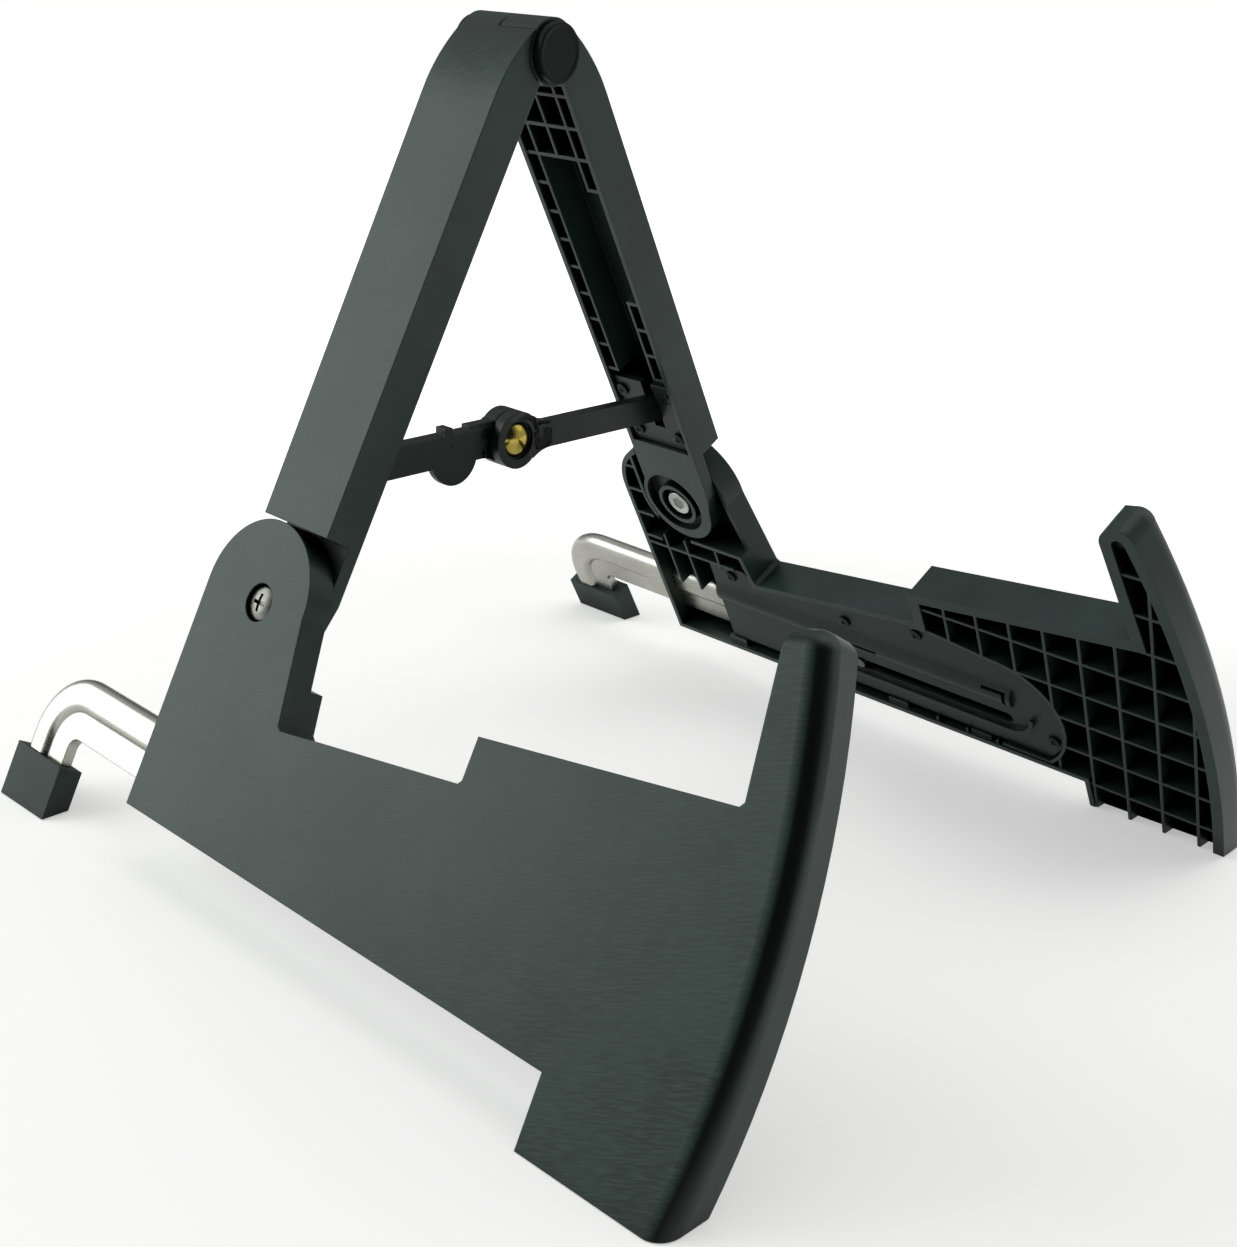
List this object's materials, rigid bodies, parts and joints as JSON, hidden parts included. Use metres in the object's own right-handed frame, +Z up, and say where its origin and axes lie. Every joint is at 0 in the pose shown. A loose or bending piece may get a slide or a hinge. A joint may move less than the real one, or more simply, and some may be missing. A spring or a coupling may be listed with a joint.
{
  "type": "guitar stand",
  "caption": "Folding A-frame guitar stand with pivoting ribbed cradle bases, hooked front ends, sliding bent rear legs and a jointed brace between the arms.",
  "frame": {"origin": "middle of the stand on the floor, at the centre of its bounding box", "axes": "+Z up, +Y from the hooks towards the rear legs, +X to the right side seen from the hooks"},
  "size_m": [0.3382, 0.3604, 0.2726],
  "materials": {
    "shell_plastic": "satin, dark green-grey, fine brushed grain",
    "bright_metal": "polished",
    "foot_rubber": "matte",
    "screw_steel": "satin",
    "rivet_brass": "polished"
  },
  "bodies": {
    "left_arm": {"left_arm_shell": "shell_plastic", "left_brace_bracket": "shell_plastic", "left_bracket_screws": "screw_steel", "left_link_pin": "screw_steel", "apex_pin": "screw_steel", "apex_front_cap": "shell_plastic", "apex_rear_cap": "shell_plastic"},
    "right_arm": {"right_arm_shell": "shell_plastic", "right_brace_bracket": "shell_plastic", "right_bracket_screws": "screw_steel", "right_link_pin": "screw_steel"},
    "left_base": {"left_base_shell": "shell_plastic", "left_leg_cover": "shell_plastic", "left_cover_screws": "screw_steel", "left_pivot_screw": "screw_steel", "left_pivot_washer": "foot_rubber", "left_pivot_nut": "screw_steel"},
    "right_base": {"right_base_shell": "shell_plastic", "right_leg_cover": "shell_plastic", "right_cover_screws": "screw_steel", "right_pivot_screw": "screw_steel", "right_pivot_washer": "foot_rubber", "right_pivot_nut": "screw_steel"},
    "left_leg": {"left_leg_bar": "bright_metal", "left_leg_foot": "foot_rubber", "left_leg_stud": "screw_steel"},
    "right_leg": {"right_leg_bar": "bright_metal", "right_leg_foot": "foot_rubber", "right_leg_stud": "screw_steel"},
    "left_link": {"left_brace_link": "shell_plastic", "brace_rivet_tail": "rivet_brass"},
    "right_link": {"right_brace_link": "shell_plastic", "brace_rivet": "rivet_brass"}
  },
  "joints": [
    {"name": "apex_hinge", "type": "hinge", "parent": "left_arm", "child": "right_arm", "pos_m": [0, 0.06041, 0.26226], "axis": [0, 0.9998, 0.0183], "range_deg": [0, 60]},
    {"name": "left_base_fold", "type": "hinge", "parent": "left_arm", "child": "left_base", "pos_m": [-0.1, 0.06628, 0.08914], "axis": [-0.866, -0.0092, 0.4999], "range_deg": [0, 81]},
    {"name": "right_base_fold", "type": "hinge", "parent": "right_arm", "child": "right_base", "pos_m": [0.1, 0.06628, 0.08914], "axis": [-0.866, 0.0092, -0.4999], "range_deg": [0, 81]},
    {"name": "left_leg_slide", "type": "slide", "parent": "left_base", "child": "left_leg", "axis": [0, -0.9998, -0.0183], "range_m": [0, 0.048]},
    {"name": "right_leg_slide", "type": "slide", "parent": "right_base", "child": "right_leg", "axis": [0, -0.9998, -0.0183], "range_m": [0, 0.048]},
    {"name": "left_link_fold", "type": "hinge", "parent": "left_arm", "child": "left_link", "pos_m": [-0.08273, 0.06274, 0.13499], "axis": [0, -0.9998, -0.0183], "range_deg": [0, 54.45]},
    {"name": "right_link_fold", "type": "hinge", "parent": "right_arm", "child": "right_link", "pos_m": [0.08273, 0.06274, 0.13499], "axis": [0, 0.9998, 0.0183], "range_deg": [0, 54.45]}
  ],
  "couplings": [
    {"joint": "left_link_fold", "follows": "apex_hinge", "ratio": 0.9075},
    {"joint": "right_link_fold", "follows": "apex_hinge", "ratio": 0.9075}
  ]
}
